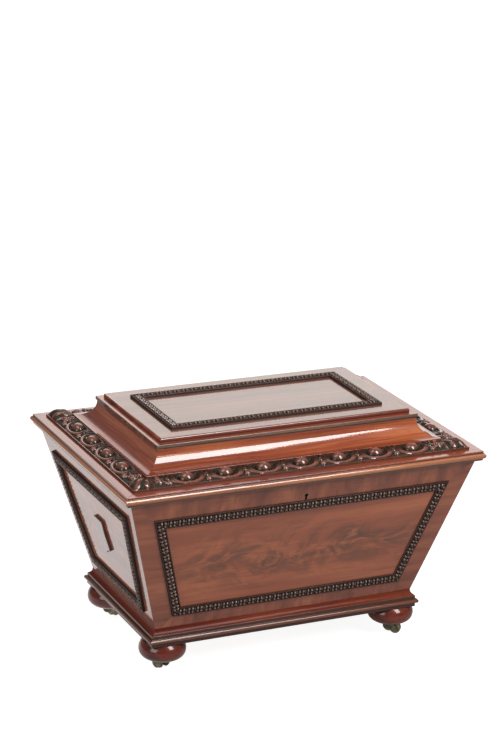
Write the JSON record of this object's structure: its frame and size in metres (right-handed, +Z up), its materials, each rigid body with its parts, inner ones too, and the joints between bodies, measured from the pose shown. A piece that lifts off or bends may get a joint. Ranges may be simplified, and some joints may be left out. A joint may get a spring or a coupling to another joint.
{
  "type": "wine cooler",
  "caption": "Sarcophagus-form mahogany wine cooler: splayed lead-lined carcase on bun feet and castors, coved hinged lid with egg-and-dart border, bead-framed panels and a link lock.",
  "frame": {"origin": "on the floor under the middle of the lid", "axes": "+X along the length to the right seen from the front, +Y to the back, +Z up"},
  "size_m": [0.76, 0.52, 0.4855],
  "materials": {
    "mahogany": "French polish, high gloss",
    "carved_mahogany": "dark stained carving with worn polished high points",
    "secondary_wood": "unpolished",
    "brass": "aged, dull",
    "lead": "dull sheet lead"
  },
  "bodies": {
    "carcase": {"back_bead_frame": "carved_mahogany", "back_panel": "mahogany", "bottom_board": "secondary_wood", "bun_foot_back_left": "mahogany", "bun_foot_back_right": "mahogany", "bun_foot_front_left": "mahogany", "bun_foot_front_right": "mahogany", "castor_plate_back_left": "brass", "castor_plate_back_right": "brass", "castor_plate_front_left": "brass", "castor_plate_front_right": "brass", "corner_blocks": "secondary_wood", "front_bead_frame": "carved_mahogany", "front_panel": "mahogany", "keyhole_escutcheon": "brass", "lead_lining": "lead", "left_bead_frame": "carved_mahogany", "left_end_panel": "mahogany", "left_end_tablet": "mahogany", "left_hinge_carcase_leaf": "brass", "left_hinge_pin": "brass", "lock_case": "brass", "plinth_back": "mahogany", "plinth_front": "mahogany", "plinth_left": "mahogany", "plinth_right": "mahogany", "right_bead_frame": "carved_mahogany", "right_end_panel": "mahogany", "right_end_tablet": "mahogany", "right_hinge_carcase_leaf": "brass", "right_hinge_pin": "brass"},
    "lid": {"carved_border_back": "carved_mahogany", "carved_border_front": "carved_mahogany", "carved_border_left": "carved_mahogany", "carved_border_right": "carved_mahogany", "left_hinge_lid_leaf": "brass", "lid_bead_frame": "carved_mahogany", "lid_cove_back": "mahogany", "lid_cove_front": "mahogany", "lid_cove_left": "mahogany", "lid_cove_right": "mahogany", "lid_rail_back": "mahogany", "lid_rail_front": "mahogany", "lid_rail_left": "mahogany", "lid_rail_right": "mahogany", "lid_top_board": "mahogany", "lid_top_panel": "mahogany", "link_plate": "brass", "right_hinge_lid_leaf": "brass"},
    "lock_bolt": {"lock_bolt": "brass"},
    "castor_fork_front_left": {"castor_fork_front_left": "brass"},
    "castor_wheel_front_left": {"castor_wheel_front_left": "brass"},
    "castor_fork_front_right": {"castor_fork_front_right": "brass"},
    "castor_wheel_front_right": {"castor_wheel_front_right": "brass"},
    "castor_fork_back_left": {"castor_fork_back_left": "brass"},
    "castor_wheel_back_left": {"castor_wheel_back_left": "brass"},
    "castor_fork_back_right": {"castor_fork_back_right": "brass"},
    "castor_wheel_back_right": {"castor_wheel_back_right": "brass"}
  },
  "joints": [
    {"name": "lid_hinge", "type": "hinge", "parent": "carcase", "child": "lid", "pos_m": [0, 0.246, 0.394], "axis": [-1, 0, 0], "range_deg": [0, 95]},
    {"name": "lock_throw", "type": "slide", "parent": "carcase", "child": "lock_bolt", "axis": [1, 0, 0], "range_m": [0, 0.005]},
    {"name": "castor_swivel_front_left", "type": "hinge", "parent": "carcase", "child": "castor_fork_front_left", "pos_m": [-0.25, -0.137, 0.0248], "axis": [0, 0, 1], "continuous": true},
    {"name": "castor_roll_front_left", "type": "hinge", "parent": "castor_fork_front_left", "child": "castor_wheel_front_left", "pos_m": [-0.2538, -0.12457, 0.011], "axis": [0.9563, 0.2924, 0], "continuous": true},
    {"name": "castor_swivel_front_right", "type": "hinge", "parent": "carcase", "child": "castor_fork_front_right", "pos_m": [0.25, -0.137, 0.0248], "axis": [0, 0, 1], "continuous": true},
    {"name": "castor_roll_front_right", "type": "hinge", "parent": "castor_fork_front_right", "child": "castor_wheel_front_right", "pos_m": [0.25996, -0.14536, 0.011], "axis": [-0.6428, -0.766, 0], "continuous": true},
    {"name": "castor_swivel_back_left", "type": "hinge", "parent": "carcase", "child": "castor_fork_back_left", "pos_m": [-0.25, 0.137, 0.0248], "axis": [0, 0, 1], "continuous": true},
    {"name": "castor_roll_back_left", "type": "hinge", "parent": "castor_fork_back_left", "child": "castor_wheel_back_left", "pos_m": [-0.23744, 0.14036, 0.011], "axis": [0.2588, -0.9659, 0], "continuous": true},
    {"name": "castor_swivel_back_right", "type": "hinge", "parent": "carcase", "child": "castor_fork_back_right", "pos_m": [0.25, 0.137, 0.0248], "axis": [0, 0, 1], "continuous": true},
    {"name": "castor_roll_back_right", "type": "hinge", "parent": "castor_fork_back_right", "child": "castor_wheel_back_right", "pos_m": [0.2565, 0.14826, 0.011], "axis": [0.866, -0.5, 0], "continuous": true}
  ]
}
